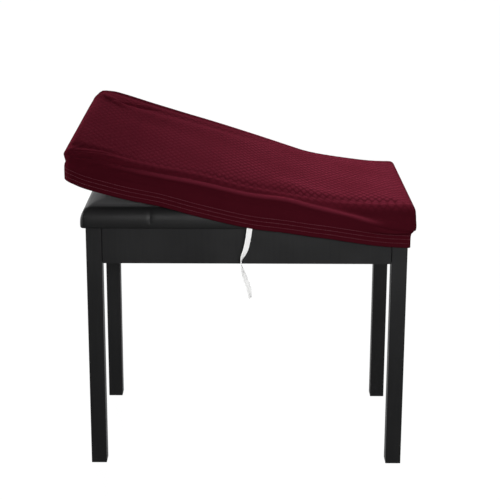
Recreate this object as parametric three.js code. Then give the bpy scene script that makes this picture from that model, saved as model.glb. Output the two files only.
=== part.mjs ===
// A piano bench with a stretch cover drawn over its seat. The cover's right end is fitted,
// and its left end is still lifted clear of the seat. Millimetres, +Z up, the front faces -Y.
import * as THREE from "three";

// Bench
const FRAME_WIDTH = 572;
const FRAME_DEPTH = 350;
const LEG_SIDE = 28;
const APRON_BOTTOM = 385;
const APRON_THICKNESS = 18;
const APRON_SETBACK = 2.5;
const SEAT_BOTTOM = 452;
const SEAT_OVERHANG = 9;
const SEAT_CORNER = 9;
const SEAT_RIM = 20;
const PIECE_GAP = 0.3;

// Cover
const CLOTH_THICKNESS = 2;
const CLOTH_CLEARANCE = 2;
const CLOTH_OFFSET = CLOTH_CLEARANCE + CLOTH_THICKNESS / 2;
const COVER_LEFT = -311;
const COVER_CORNER = 12;
const LEFT_LEAN = { front: -3.5, back: 11.5 };
const HEM_DEPTH = 18;

// The cover's section. On the rolled edge a share runs from the edge, 0, down to the ridge, 1, and on
// the skirt from the ridge, 0, down to the hem, 1. Each out is measured from the cover's outline.
const ROLL_INSET = SEAT_RIM + CLOTH_OFFSET;
const ROLL_BROW = { out: -8.5, share: 0.06 };
const ROLL_SHOULDER = { out: -2.4, share: 0.27 };
const ROLL_FACE = { out: -0.3, share: 0.68 };
const UNDER_RIDGE = { out: 0.8, share: 0.2 };
const SEAT_LIP = { less: 1, share: 0.32 };
const DRAW_IN = { ease: 0.2, share: 0.43 };

// Elastic tape sewn inside the front hem
const TAPE_WIDTH = 10;
const TAPE_THICKNESS = 1.2;
const TAPE_Y = -187.4;
const TAPE_STEPS = 30;

// Finishes
const CLOTH_COLOUR = 0x5c1524;
const LEATHER_COLOUR = 0x2b2b2c;
const WOOD_COLOUR = 0x1c1c1d;
const TAPE_COLOUR = 0xf2f1ee;

// Seat pad section: how far each ring stands out of the seat's outline, and its height over the underside
const SEAT_SECTION = [
  { out: -14, height: 0 },
  { out: -3, height: 0 },
  { out: -0.6, height: 1 },
  { out: 0, height: 4 },
  { out: 0, height: 11 },
  { out: -1, height: 19 },
  { out: -4, height: 27 },
  { out: -10, height: 35 },
  { out: -SEAT_RIM, height: 41 },
  { out: -34, height: 44.6 },
  { out: -60, height: 46.5 },
  { out: -120, height: 48 },
  { out: -178, height: 48.4 },
];

// The cover's low crown: how far it rises over its rolled edge at each distance in from the seat's outline
const COVER_CROWN = [
  { inset: SEAT_RIM, rise: 0 },
  { inset: 34, rise: 3.3 },
  { inset: 60, rise: 5.2 },
  { inset: 120, rise: 6.7 },
  { inset: 178, rise: 7.1 },
];

// The cover's front side, from the lifted left end to the fitted right end. edge is where the top
// turns over, ridge is the soft fold below it and ridgeOut how far that stands out, hem is the lower
// edge and hemOut how far that stands out of the cover's outline.
const FRONT_SIDE = [
  { x: -311, edge: 594, ridge: 585, ridgeOut: 5, hem: 541, hemOut: 5 },
  { x: -285, edge: 589, ridge: 579, ridgeOut: 5, hem: 528, hemOut: 2 },
  { x: -248, edge: 581, ridge: 571.5, ridgeOut: 6, hem: 516.5, hemOut: 0 },
  { x: -203, edge: 567.5, ridge: 560.5, ridgeOut: 6, hem: 505, hemOut: 0 },
  { x: -152, edge: 556, ridge: 550, ridgeOut: 6, hem: 495, hemOut: 1 },
  { x: -82, edge: 544, ridge: 537, ridgeOut: 6, hem: 476.5, hemOut: 3 },
  { x: 5, edge: 524.5, ridge: 517, ridgeOut: 6, hem: 456.5, hemOut: 4 },
  { x: 70, edge: 513, ridge: 508, ridgeOut: 6, hem: 448, hemOut: 4 },
  { x: 115, edge: 504.5, ridge: 496, ridgeOut: 6, hem: 441, hemOut: 3 },
  { x: 145, edge: 500.5, ridge: 488.5, ridgeOut: 6, hem: 437, hemOut: 2.5 },
  { x: 186, edge: 497.5, ridge: 478.5, ridgeOut: 6, hem: 430.5, hemOut: 2 },
  { x: 226, edge: 496.5, ridge: 466.5, ridgeOut: 4.5, hem: 424, hemOut: -1 },
  { x: 254, edge: 496.5, ridge: 461, ridgeOut: 2.5, hem: 420, hemOut: -6 },
  { x: 283, edge: 496.5, ridge: 462, ridgeOut: 0.5, hem: 418, hemOut: -8.5 },
  { x: 298, edge: 496.5, ridge: 463.5, ridgeOut: 0, hem: 417.5, hemOut: -8.5 },
];

// The cover's back side, with the same columns; its left corner is lifted highest
const BACK_SIDE = [
  { x: -311, edge: 634, ridge: 621, ridgeOut: 4, hem: 570, hemOut: 3 },
  { x: -290, edge: 636.5, ridge: 625.5, ridgeOut: 4, hem: 571, hemOut: 1 },
  { x: -268, edge: 633.5, ridge: 624, ridgeOut: 4, hem: 568, hemOut: 0 },
  { x: -195, edge: 611, ridge: 604.5, ridgeOut: 5, hem: 549, hemOut: 0 },
  { x: -95, edge: 581, ridge: 576.5, ridgeOut: 6, hem: 516, hemOut: 1 },
  { x: 5, edge: 550, ridge: 545.5, ridgeOut: 6, hem: 484, hemOut: 3 },
  { x: 106, edge: 519, ridge: 512.5, ridgeOut: 6, hem: 454, hemOut: 3 },
  { x: 147, edge: 510, ridge: 499, ridgeOut: 6, hem: 444, hemOut: 2.5 },
  { x: 208, edge: 501.5, ridge: 482, ridgeOut: 5, hem: 432, hemOut: 2 },
  { x: 252, edge: 497.5, ridge: 466.5, ridgeOut: 3.5, hem: 423.5, hemOut: -2 },
  { x: 298, edge: 496.5, ridge: 463.5, ridgeOut: 0, hem: 417.5, hemOut: -8.5 },
];

// Folds across the cover's top: a soft rise or fall along a line from one place to another. Over the
// shares of its line in FOLD_START and FOLD_END a fold comes up and dies away.
const FOLD_START = { from: -0.15, to: 0.15 };
const FOLD_END = { from: 0.5, to: 1.1 };
const TOP_FOLDS = [
  { fromX: -240, fromY: 122, toX: 120, toY: 136, width: 20, rise: -3.2 },
  { fromX: -305, fromY: -140, toX: -205, toY: -160, width: 13, rise: 0.6 },
  { fromX: -300, fromY: -166, toX: -170, toY: -178, width: 11, rise: -1 },
  { fromX: -230, fromY: 60, toX: 60, toY: 10, width: 42, rise: -1.5 },
  { fromX: 60, fromY: -120, toX: 190, toY: -166, width: 24, rise: 2.5 },
];

// The tape's centre line, and how far its face turns away from the front at each place
const TAPE_LINE = [
  { x: 4.5, z: 470, turn: 0 },
  { x: 4.5, z: 454, turn: 4 },
  { x: 1.5, z: 432, turn: 12 },
  { x: -2, z: 416, turn: 18 },
  { x: -6.5, z: 404, turn: 40 },
  { x: -9.8, z: 395, turn: 80 },
  { x: -9.6, z: 386, turn: 88 },
  { x: -6.5, z: 374, turn: 60 },
  { x: -1, z: 358, turn: 35 },
  { x: 4, z: 342, turn: 40 },
  { x: 6, z: 326, turn: 62 },
];

// How finely the loops around the seat pad and the cover are divided; each end count is even
const SEAT_STEPS = { long: 12, end: 8, corner: 4 };
const COVER_STEPS = { long: 22, end: 10, corner: 4 };
const SIDE_LEVELS = 14;
const TOP_INSETS = [33, 46, 62, 82, 106, 133, 160, 181];
const SMALLEST_CORNER = 1.5;
const CAP_BOW = 2;

// Sizes that follow from these
const SEAT_PLAN = {
  left: -FRAME_WIDTH / 2 - SEAT_OVERHANG,
  right: FRAME_WIDTH / 2 + SEAT_OVERHANG,
  halfDepth: FRAME_DEPTH / 2 + SEAT_OVERHANG,
  corner: SEAT_CORNER,
};
const COVER_PLAN = {
  left: COVER_LEFT,
  right: SEAT_PLAN.right + CLOTH_OFFSET,
  halfDepth: SEAT_PLAN.halfDepth + CLOTH_OFFSET,
  corner: COVER_CORNER,
};

const cloth = new THREE.MeshStandardMaterial({ color: CLOTH_COLOUR, roughness: 0.85, metalness: 0 });
const leather = new THREE.MeshStandardMaterial({ color: LEATHER_COLOUR, roughness: 0.45, metalness: 0 });
const wood = new THREE.MeshStandardMaterial({ color: WOOD_COLOUR, roughness: 0.5, metalness: 0 });
const tape = new THREE.MeshStandardMaterial({ color: TAPE_COLOUR, roughness: 0.8, metalness: 0 });

const mix = THREE.MathUtils.lerp;

// A column of a table, on a smooth curve through its rows, at a place along another column
function columnAt(rows, column, at, along = "x") {
  const last = rows.length - 1;
  const place = THREE.MathUtils.clamp(at, rows[0][along], rows[last][along]);
  let i = 0;
  while (i < last - 1 && place > rows[i + 1][along]) i += 1;
  const slope = (j) => {
    const before = rows[Math.max(j - 1, 0)];
    const after = rows[Math.min(j + 1, last)];
    return (after[column] - before[column]) / (after[along] - before[along]);
  };
  const span = rows[i + 1][along] - rows[i][along];
  const t = (place - rows[i][along]) / span;
  const rise = t * t * (3 - 2 * t);
  const leave = t * (1 - t) * (1 - t) * span * slope(i);
  const arrive = t * t * (t - 1) * span * slope(i + 1);
  return mix(rows[i][column], rows[i + 1][column], rise) + leave + arrive;
}

// A rounded rectangle grown outwards, as points counter-clockwise from the middle of its right end.
// bow rounds the straight ends a little, so that a cap across the loop has no flat slivers.
function roundedLoop(plan, out, steps, bow = 0) {
  const left = plan.left - out;
  const right = plan.right + out;
  const depth = plan.halfDepth + out;
  const radius = Math.max(plan.corner + out, SMALLEST_CORNER);
  const straight = depth - radius;
  const points = [];
  const line = (x0, y0, x1, y1, count) => {
    for (let i = 0; i < count; i += 1) {
      points.push(new THREE.Vector2(mix(x0, x1, i / count), mix(y0, y1, i / count)));
    }
  };
  const end = (x, y0, y1, count, sign) => {
    for (let i = 0; i < count; i += 1) {
      const y = mix(y0, y1, i / count);
      points.push(new THREE.Vector2(x + sign * bow * (1 - (y / straight) ** 2), y));
    }
  };
  const arc = (x, y, start) => {
    for (let i = 0; i < steps.corner; i += 1) {
      const angle = ((start + i / steps.corner) * Math.PI) / 2;
      points.push(new THREE.Vector2(x + radius * Math.cos(angle), y + radius * Math.sin(angle)));
    }
  };
  end(right, 0, straight, steps.end / 2, 1);
  arc(right - radius, straight, 0);
  line(right - radius, depth, left + radius, depth, steps.long);
  arc(left + radius, straight, 1);
  end(left, straight, -straight, steps.end, -1);
  arc(left + radius, -straight, 2);
  line(left + radius, -depth, right - radius, -depth, steps.long);
  arc(right - radius, -straight, 3);
  end(right, -straight, 0, steps.end / 2, 1);
  return points;
}

// Faces between rings of equal length, ordered upwards or inwards
function ringFaces(ringCount, loopCount) {
  const faces = [];
  for (let ring = 0; ring < ringCount - 1; ring += 1) {
    for (let k = 0; k < loopCount; k += 1) {
      const a = ring * loopCount + k;
      const b = ring * loopCount + ((k + 1) % loopCount);
      faces.push([a, b, b + loopCount], [a, b + loopCount, a + loopCount]);
    }
  }
  return faces;
}

// Faces across one ring, from each point to its mirror point on the other side
function capFaces(first, loopCount) {
  const faces = [[first, first + 1, first + loopCount - 1]];
  for (let k = 1; k < loopCount / 2; k += 1) {
    const a = first + k;
    const b = first + k + 1;
    const c = first + loopCount - k - 1;
    const d = first + loopCount - k;
    if (b === c) {
      faces.push([a, b, d]);
    } else {
      faces.push([a, b, c], [a, c, d]);
    }
  }
  return faces;
}

const flipped = (faces) => faces.map(([a, b, c]) => [a, c, b]);

function geometryFrom(points, faces) {
  const geometry = new THREE.BufferGeometry().setFromPoints(points);
  geometry.setIndex(faces.flat());
  geometry.computeVertexNormals();
  return geometry;
}

function piece(name, geometry, material) {
  const mesh = new THREE.Mesh(geometry, material);
  mesh.name = name;
  return mesh;
}

// Legs and the rails between them
function benchFrame() {
  const frame = new THREE.Group();
  const height = SEAT_BOTTOM - PIECE_GAP;
  const legX = FRAME_WIDTH / 2 - LEG_SIDE / 2;
  const legY = FRAME_DEPTH / 2 - LEG_SIDE / 2;
  for (const [side, sign] of [["left", -1], ["right", 1]]) {
    for (const [row, depthSign] of [["front", -1], ["back", 1]]) {
      const leg = piece(`leg_${row}_${side}`, new THREE.BoxGeometry(LEG_SIDE, LEG_SIDE, height), wood);
      leg.position.set(sign * legX, depthSign * legY, height / 2);
      frame.add(leg);
    }
  }
  const railHeight = height - APRON_BOTTOM;
  const railZ = APRON_BOTTOM + railHeight / 2;
  const railInset = APRON_SETBACK + APRON_THICKNESS / 2;
  const longRail = FRAME_WIDTH - 2 * (LEG_SIDE + PIECE_GAP);
  const endRail = FRAME_DEPTH - 2 * (LEG_SIDE + PIECE_GAP);
  for (const [row, sign] of [["front", -1], ["back", 1]]) {
    const shape = new THREE.BoxGeometry(longRail, APRON_THICKNESS, railHeight);
    const rail = piece(`apron_${row}`, shape, wood);
    rail.position.set(0, sign * (FRAME_DEPTH / 2 - railInset), railZ);
    frame.add(rail);
  }
  for (const [side, sign] of [["left", -1], ["right", 1]]) {
    const shape = new THREE.BoxGeometry(APRON_THICKNESS, endRail, railHeight);
    const rail = piece(`apron_${side}`, shape, wood);
    rail.position.set(sign * (FRAME_WIDTH / 2 - railInset), 0, railZ);
    frame.add(rail);
  }
  return frame;
}

// The padded seat: an upright side, a broad rolled rim and a low crown
function seatPad() {
  const last = SEAT_SECTION.length - 1;
  const points = SEAT_SECTION.flatMap(({ out, height }, i) => {
    const bow = i === 0 || i === last ? CAP_BOW : 0;
    const loop = roundedLoop(SEAT_PLAN, out, SEAT_STEPS, bow);
    return loop.map((p) => new THREE.Vector3(p.x, p.y, SEAT_BOTTOM + height));
  });
  const loopCount = points.length / SEAT_SECTION.length;
  const faces = [
    ...flipped(capFaces(0, loopCount)),
    ...ringFaces(SEAT_SECTION.length, loopCount),
    ...capFaces(last * loopCount, loopCount),
  ];
  return piece("seat_pad", geometryFrom(points, faces), leather);
}

// How far a place lies from the front to the back of the cover, 0 to 1
const acrossAt = (y) => THREE.MathUtils.clamp((y / COVER_PLAN.halfDepth + 1) / 2, 0, 1);

// A column of the two side tables at a place, blended from front to back
function sideValue(column, x, y) {
  return mix(columnAt(FRONT_SIDE, column, x), columnAt(BACK_SIDE, column, x), acrossAt(y));
}

// The cover's crown at a place; it runs on to the lifted left end
function coverCrown(x, y) {
  const inset = Math.min(SEAT_PLAN.right - x, SEAT_PLAN.halfDepth - Math.abs(y));
  return columnAt(COVER_CROWN, "rise", inset, "inset");
}

// The sum of the top's folds at a place, each one fading at its ends and to its sides
function foldRise(x, y) {
  return TOP_FOLDS.reduce((sum, fold) => {
    const alongX = fold.toX - fold.fromX;
    const alongY = fold.toY - fold.fromY;
    const length = Math.hypot(alongX, alongY);
    const t = ((x - fold.fromX) * alongX + (y - fold.fromY) * alongY) / length ** 2;
    const aside = ((x - fold.fromX) * alongY - (y - fold.fromY) * alongX) / length;
    const risen = THREE.MathUtils.smoothstep(t, FOLD_START.from, FOLD_START.to);
    const gone = THREE.MathUtils.smoothstep(t, FOLD_END.from, FOLD_END.to);
    return sum + fold.rise * risen * (1 - gone) * Math.exp(-((aside / fold.width) ** 2));
  }, 0);
}

// Height of the cover's top at a place
function topHeight(x, y) {
  return sideValue("edge", x, y) + coverCrown(x, y) + foldRise(x, y);
}

// The cover's section at one place of its outline, from the hem up to the start of the top
function sideSection(outlinePoint, topPoint) {
  const { x, y } = outlinePoint;
  const edge = sideValue("edge", x, y) + coverCrown(x, y);
  const ridge = sideValue("ridge", x, y);
  const ridgeOut = sideValue("ridgeOut", x, y);
  const hem = sideValue("hem", x, y);
  const hemOut = sideValue("hemOut", x, y);
  const skirtAt = (share) => mix(ridge, hem, share);
  const rollAt = (share) => mix(edge, ridge, share);
  const underOut = ridgeOut / 2 + UNDER_RIDGE.out;
  const lipOut = underOut - SEAT_LIP.less;
  return new THREE.SplineCurve([
    new THREE.Vector2(hemOut, hem),
    new THREE.Vector2(hemOut, hem + HEM_DEPTH),
    new THREE.Vector2(mix(hemOut, lipOut, DRAW_IN.ease), skirtAt(DRAW_IN.share)),
    new THREE.Vector2(lipOut, skirtAt(SEAT_LIP.share)),
    new THREE.Vector2(underOut, skirtAt(UNDER_RIDGE.share)),
    new THREE.Vector2(ridgeOut, ridge),
    new THREE.Vector2(ridgeOut / 2 + ROLL_FACE.out, rollAt(ROLL_FACE.share)),
    new THREE.Vector2(ROLL_SHOULDER.out, rollAt(ROLL_SHOULDER.share)),
    new THREE.Vector2(ROLL_BROW.out, rollAt(ROLL_BROW.share)),
    new THREE.Vector2(-ROLL_INSET, topHeight(topPoint.x, topPoint.y)),
  ]);
}

// How far the cover's left end leans along X at a place: out at the front and in at the back
function leanAt(x, y) {
  const share = (COVER_PLAN.right - x) / (COVER_PLAN.right - COVER_PLAN.left);
  return share * mix(LEFT_LEAN.front, LEFT_LEAN.back, acrossAt(y));
}

// The rings of the cover's middle surface, from the hem up and in over the top
function coverRings() {
  const outline = roundedLoop(COVER_PLAN, 0, COVER_STEPS);
  const topRim = roundedLoop(COVER_PLAN, -ROLL_INSET, COVER_STEPS);
  const grown = roundedLoop(COVER_PLAN, 1, COVER_STEPS);
  const sections = outline.map((p, k) => sideSection(p, topRim[k]));
  const rings = [];
  for (let level = 0; level < SIDE_LEVELS; level += 1) {
    rings.push(outline.map((p, k) => {
      const { x: out, y: z } = sections[k].getPoint(level / SIDE_LEVELS);
      const away = grown[k].clone().sub(p);
      return new THREE.Vector3(p.x + away.x * out + leanAt(p.x, p.y), p.y + away.y * out, z);
    }));
  }
  for (const inset of [ROLL_INSET, ...TOP_INSETS]) {
    const bow = inset === TOP_INSETS.at(-1) ? CAP_BOW : 0;
    const loop = roundedLoop(COVER_PLAN, -inset, COVER_STEPS, bow);
    rings.push(loop.map((p) => new THREE.Vector3(p.x + leanAt(p.x, p.y), p.y, topHeight(p.x, p.y))));
  }
  return rings;
}

// The cover: its middle surface given thickness to both sides and closed along the hem
function cover() {
  const rings = coverRings();
  const loopCount = rings[0].length;
  const middle = rings.flat();
  const skin = [
    ...ringFaces(rings.length, loopCount),
    ...capFaces((rings.length - 1) * loopCount, loopCount),
  ];
  const normals = geometryFrom(middle, skin).getAttribute("normal");
  const shifted = (distance) => middle.map((p, i) => {
    const normal = new THREE.Vector3().fromBufferAttribute(normals, i);
    return p.clone().addScaledVector(normal, distance);
  });
  const points = [...shifted(CLOTH_THICKNESS / 2), ...shifted(-CLOTH_THICKNESS / 2)];
  const inside = flipped(skin).map((face) => face.map((i) => i + middle.length));
  const hem = [];
  for (let k = 0; k < loopCount; k += 1) {
    const next = (k + 1) % loopCount;
    hem.push([k, k + middle.length, next + middle.length], [k, next + middle.length, next]);
  }
  return piece("cover", geometryFrom(points, [...skin, ...inside, ...hem]), cloth);
}

// The tape: a flat band that hangs from inside the hem and turns as it falls
function elasticTape() {
  const rows = TAPE_LINE.map((row, step) => ({ ...row, step }));
  const lineAt = (column, step) => columnAt(rows, column, step, "step");
  const points = [];
  for (let step = 0; step <= TAPE_STEPS; step += 1) {
    const at = (step / TAPE_STEPS) * (rows.length - 1);
    const turn = THREE.MathUtils.degToRad(lineAt("turn", at));
    const across = new THREE.Vector3(Math.cos(turn), Math.sin(turn), 0);
    const through = new THREE.Vector3(-Math.sin(turn), Math.cos(turn), 0);
    const centre = new THREE.Vector3(lineAt("x", at), TAPE_Y, lineAt("z", at));
    for (const [a, b] of [[1, 1], [-1, 1], [-1, -1], [1, -1]]) {
      const corner = centre.clone().addScaledVector(across, (a * TAPE_WIDTH) / 2);
      points.push(corner.addScaledVector(through, (b * TAPE_THICKNESS) / 2));
    }
  }
  const last = TAPE_STEPS * 4;
  const faces = [
    [0, 1, 2], [0, 2, 3],
    ...flipped(ringFaces(TAPE_STEPS + 1, 4)),
    [last, last + 2, last + 1], [last, last + 3, last + 2],
  ];
  return piece("elastic_tape", geometryFrom(points, faces), tape);
}

const bench = new THREE.Group();
bench.add(benchFrame(), seatPad(), cover(), elasticTape());

// The origin is on the floor, under the middle of the whole part
const middle = new THREE.Box3().setFromObject(bench).getCenter(new THREE.Vector3());
bench.position.set(-middle.x, -middle.y, 0);

export default bench;
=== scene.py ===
"""Looks of a piano bench whose burgundy stretch cover is half drawn over the padded seat.

Sizes are millimetres from the floor under the middle of the bench, as the construction has them.
A finished piece's mesh is moved into the frame, in metres, when it is made.
"""
import math

import bpy
import numpy as np
from mathutils import Matrix, Vector


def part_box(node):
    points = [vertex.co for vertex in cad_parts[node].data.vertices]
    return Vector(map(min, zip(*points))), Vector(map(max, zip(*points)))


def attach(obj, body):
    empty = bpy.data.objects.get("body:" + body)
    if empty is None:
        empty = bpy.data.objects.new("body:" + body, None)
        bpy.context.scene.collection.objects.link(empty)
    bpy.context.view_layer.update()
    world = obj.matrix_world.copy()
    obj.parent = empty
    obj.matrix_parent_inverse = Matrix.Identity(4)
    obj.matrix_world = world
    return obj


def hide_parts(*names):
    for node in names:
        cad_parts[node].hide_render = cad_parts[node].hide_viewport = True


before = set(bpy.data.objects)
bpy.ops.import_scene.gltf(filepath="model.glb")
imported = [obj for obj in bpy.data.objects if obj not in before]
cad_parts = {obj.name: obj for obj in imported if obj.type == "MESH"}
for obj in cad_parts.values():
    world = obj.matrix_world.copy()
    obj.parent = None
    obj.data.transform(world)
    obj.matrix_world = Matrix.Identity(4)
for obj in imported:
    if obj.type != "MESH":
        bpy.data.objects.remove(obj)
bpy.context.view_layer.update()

MM = 0.001
LEGS = [f"leg_{row}_{side}" for row in ("front", "back") for side in ("left", "right")]
APRONS = [f"apron_{side}" for side in ("front", "back", "left", "right")]

# The padded seat. Its section gives how far out each point is from the seat's outline and how high over
# its bottom. Its two seams sink in between the heights where they start.
SEAT = {"left": -295, "right": 295, "half_depth": 184, "corner": 9}
SEAT_BOTTOM = 452
SEAT_RIM = 20
SEAT_STEPS = {"long": 96, "end": 60, "corner": 6}
SEAT_SEAM = {"x": 171, "width": 2.2, "depth": 0.8, "columns": 5, "spacing": 1.6}
SEAT_SEAM_STARTS = (6, 14)
SEAT_SIDE_LEVELS = 46
SEAT_SECTION = [
    (-14, 0), (-3, 0), (-0.6, 1), (0, 4), (0, 11), (-1, 19), (-4, 27),
    (-10, 35), (-20, 41), (-34, 44.6), (-60, 46.5), (-120, 48), (-178, 48.4),
]

# The cover. Its crown gives how far in from the seat's edge and how much higher, and its left end leans
# along X.
CLOTH_THICKNESS = 2
CLOTH_OFFSET = 3
COVER = {"left": -311, "right": 298, "half_depth": 187, "corner": 12}
COVER_CROWN = [(20, 0), (34, 3.3), (60, 5.2), (120, 6.7), (178, 7.1)]
LEFT_LEAN = {"front": -3.5, "back": 11.5}
SOFT_CORNER = 4
ROLL_INSET = SEAT_RIM + CLOTH_OFFSET
HEM_DEPTH = 18
HEM_TURN = 0.8

# How finely the cover is divided: around its outline, and up its hem, its skirt and its rolled edge.
# The hem and the rolled edge start at fixed distances from the lower edge and from the ridge.
OUTSIDE = {"long": 232, "end": 136, "corner": 6, "hem": 10, "skirt": 10, "roll": 26}
INSIDE = {"long": 116, "end": 68, "corner": 3, "hem": 5, "skirt": 5, "roll": 13}
HEM_ZONE = 26
ROLL_ZONE = 7
SECTION_SAMPLES = 240

# The cover's section. On the rolled edge a share runs from the edge, 0, to the ridge, 1, and on the
# skirt from the ridge, 0, to the hem, 1. Each out is measured from the cover's outline.
ROLL_BROW = {"out": -8.5, "share": 0.06}
ROLL_SHOULDER = {"out": -2.4, "share": 0.27}
ROLL_FACE = {"out": -0.3, "share": 0.68}
UNDER_RIDGE = {"out": 0.8, "share": 0.2}
SEAT_LIP = {"less": 1, "share": 0.32}
DRAW_IN = {"ease": 0.2, "share": 0.43}

# The cover's sides, from the lifted left end to the fitted right end
SIDE_COLUMNS = ("x", "edge", "ridge", "ridge_out", "hem", "hem_out")
FRONT_SIDE = [
    (-311, 594, 585, 5, 541, 5),
    (-285, 589, 579, 5, 528, 2),
    (-248, 581, 571.5, 6, 516.5, 0),
    (-203, 567.5, 560.5, 6, 505, 0),
    (-152, 556, 550, 6, 495, 1),
    (-82, 544, 537, 6, 476.5, 3),
    (5, 524.5, 517, 6, 456.5, 4),
    (70, 513, 508, 6, 448, 4),
    (115, 504.5, 496, 6, 441, 3),
    (145, 500.5, 488.5, 6, 437, 2.5),
    (186, 497.5, 478.5, 6, 430.5, 2),
    (226, 496.5, 466.5, 4.5, 424, -1),
    (254, 496.5, 461, 2.5, 420, -6),
    (283, 496.5, 462, 0.5, 418, -8.5),
    (298, 496.5, 463.5, 0, 417.5, -8.5),
]
BACK_SIDE = [
    (-311, 634, 621, 4, 570, 3),
    (-290, 636.5, 625.5, 4, 571, 1),
    (-268, 633.5, 624, 4, 568, 0),
    (-195, 611, 604.5, 5, 549, 0),
    (-95, 581, 576.5, 6, 516, 1),
    (5, 550, 545.5, 6, 484, 3),
    (106, 519, 512.5, 6, 454, 3),
    (147, 510, 499, 6, 444, 2.5),
    (208, 501.5, 482, 5, 432, 2),
    (252, 497.5, 466.5, 3.5, 423.5, -2),
    (298, 496.5, 463.5, 0, 417.5, -8.5),
]

# Folds of the top: from x, from y, to x, to y, width, rise
TOP_FOLDS = [
    (-240, 122, 120, 136, 20, -3.2),
    (-305, -140, -205, -160, 13, 0.6),
    (-300, -166, -170, -178, 11, -1),
    (-230, 60, 60, 10, 42, -1.5),
    (60, -120, 190, -166, 24, 2.5),
]
FOLD_START = (-0.15, 0.15)
FOLD_END = (0.5, 1.1)

# Creases in the cloth, with the same columns. Their places are in the cloth's own sizes: across and
# along its top, and on past its edges down the skirt.
CREASES = [
    (-292, -184, -220, -170, 2.4, -1.8),
    (-282, -194, -212, -180, 2.2, -1.8),
    (-264, -197, -210, -190, 2.0, -1.8),
    (-240, -199, -160, -184, 2.2, -1.8),
    (-286, -190, -236, -180, 3.0, 0.9),
    (-286, -177, 0, -172, 20, 4.2),
    (-284, -216, -186, -224, 5.0, 0.9),
    (-301, 136, -238, 84, 11, 4.4),
    (-270, 104, -172, 141, 6, -2.6),
    (330, -188, 215, -186, 6, 1.8),
    (150, -198, 300, -200, 8, -3.0),
    (-300, 164, -268, 176, 11, 2.0),
    (190, -226, 262, -232, 3.0, 0.9),
    (200, -234, 280, -240, 2.6, -0.8),
]

# The ridge under the rolled edge: distance up the cloth from it, width, rise. It is broader towards
# the right, and a painted highlight makes the cloth a little lighter along it.
RIDGE_WELT = [(0, 3.0, 1.5), (8, 4.5, -1.5)]
RIDGE_SHARE = 0.5
RIDGE_BROADENS = {"from": -260, "to": 120, "first": 0.75, "last": 1.35}
WELT_STARTS = (-296, -262)
WELT_ENDS = (190, 236)
PAINTED_HIGHLIGHT_ON_RIDGE = {"starts": (-262, -80), "up": 1, "width": 2.6, "share": 0.95}

# The tuck under the ridge at the fitted end. First and last are how far below the ridge it lies as it
# falls towards the corner.
TUCK = {"from": 215, "to": 295, "first": 7, "last": 16, "width": 2.8, "depth": 2.2}
TUCK_STARTS = (200, 240)

# The knitted diamonds: their sizes, how they fade over the cloth and at its edges, how their strength
# varies in patches (two waves, by their lengths along and across), and how their rows stray sideways
# (reach, length one way, length the other way, start). The fine knit lies under them.
# The diamonds are painted darker between them and lighter on their crowns: painted shade and light.
DIAMOND = {"across": 13.5, "along": 18, "bump": 0.5, "painted_shade_to_light": (0.0, 0.75)}
DIAMOND_RISE = 0.4
DIAMOND_FADES = {"from": -250, "to": 180, "least": 0.3}
DIAMOND_EDGE = (-12, 28)
DIAMOND_PATCHES = {"mean": 0.85, "swing": 0.3, "first": (31, 53), "second": (-71, 37)}
ROWS_STRAY = [(1.4, 47, 61, 0), (0.8, 23, -19, 1)]
KNIT = {"rib": 1.5, "course": 1.2, "bump": 0.06}

# Rows of stitches: height over the hem, name. Each stitch is a bead, stretched, and uneven in size.
STITCH_ROWS = [(22, "upper"), (15, "middle"), (7.5, "lower")]
STITCH = {"pitch": 4.2, "length": 3.4, "thickness": 0.6}
STITCH_UNEVEN = {"Min": (0.88, 0.85, 0.9), "Max": (1.06, 1.1, 1.1), "Seed": 7}
BEAD = {"Segments": 6, "Rings": 4, "Radius": 0.5}

# The elastic tape. Its line runs down from inside the hem, and its turn is in degrees.
TAPE_WIDTH = 10
TAPE_THICKNESS = 1.2
TAPE_Y = -187.4
TAPE_STEPS = 150
TAPE_OUTLINE = {"edge": 5, "face": 9}
# The weave's hollows are painted darker: painted shade.
TAPE_WEAVE = {"rib": 1.25, "pick": 0.9, "pick_share": 0.35, "bump": 0.15, "painted_shade_to_rib": (-1.2, 0.4)}
TAPE_COLUMNS = ("x", "z", "turn")
TAPE_LINE = [
    (4.5, 470, 0),
    (4.5, 454, 4),
    (1.5, 432, 12),
    (-2, 416, 18),
    (-6.5, 404, 40),
    (-9.8, 395, 80),
    (-9.6, 386, 88),
    (-6.5, 374, 60),
    (-1, 358, 35),
    (4, 342, 40),
    (6, 326, 62),
]

# The leather, the wood and the thread: scales of their grain and clouding, bump heights, and the range
# of their roughness. Where the leather faces up it is greyer, painted light, and duller by a step.
LEATHER = {"grain": 620, "groove": 0.25, "clouds": 18, "bump": 0.04, "rough": (0.44, 0.52)}
LIGHT_PAINTED_ON_TOP = {"facing": (0.81, 0.92), "duller": 0.4}
WOOD = {"stretch": (60, 60, 4), "streaks": 3.0, "clouds": 9.0, "bump": 0.05, "rough": (0.38, 0.5)}
EASED_EDGE = {"weld": 0.01, "width": 1.3, "segments": 3}
THREAD_FLECKS = 900
CLOTH_CLOUDS = 14
CLOUD_RANGE = (0.3, 0.7)

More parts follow.
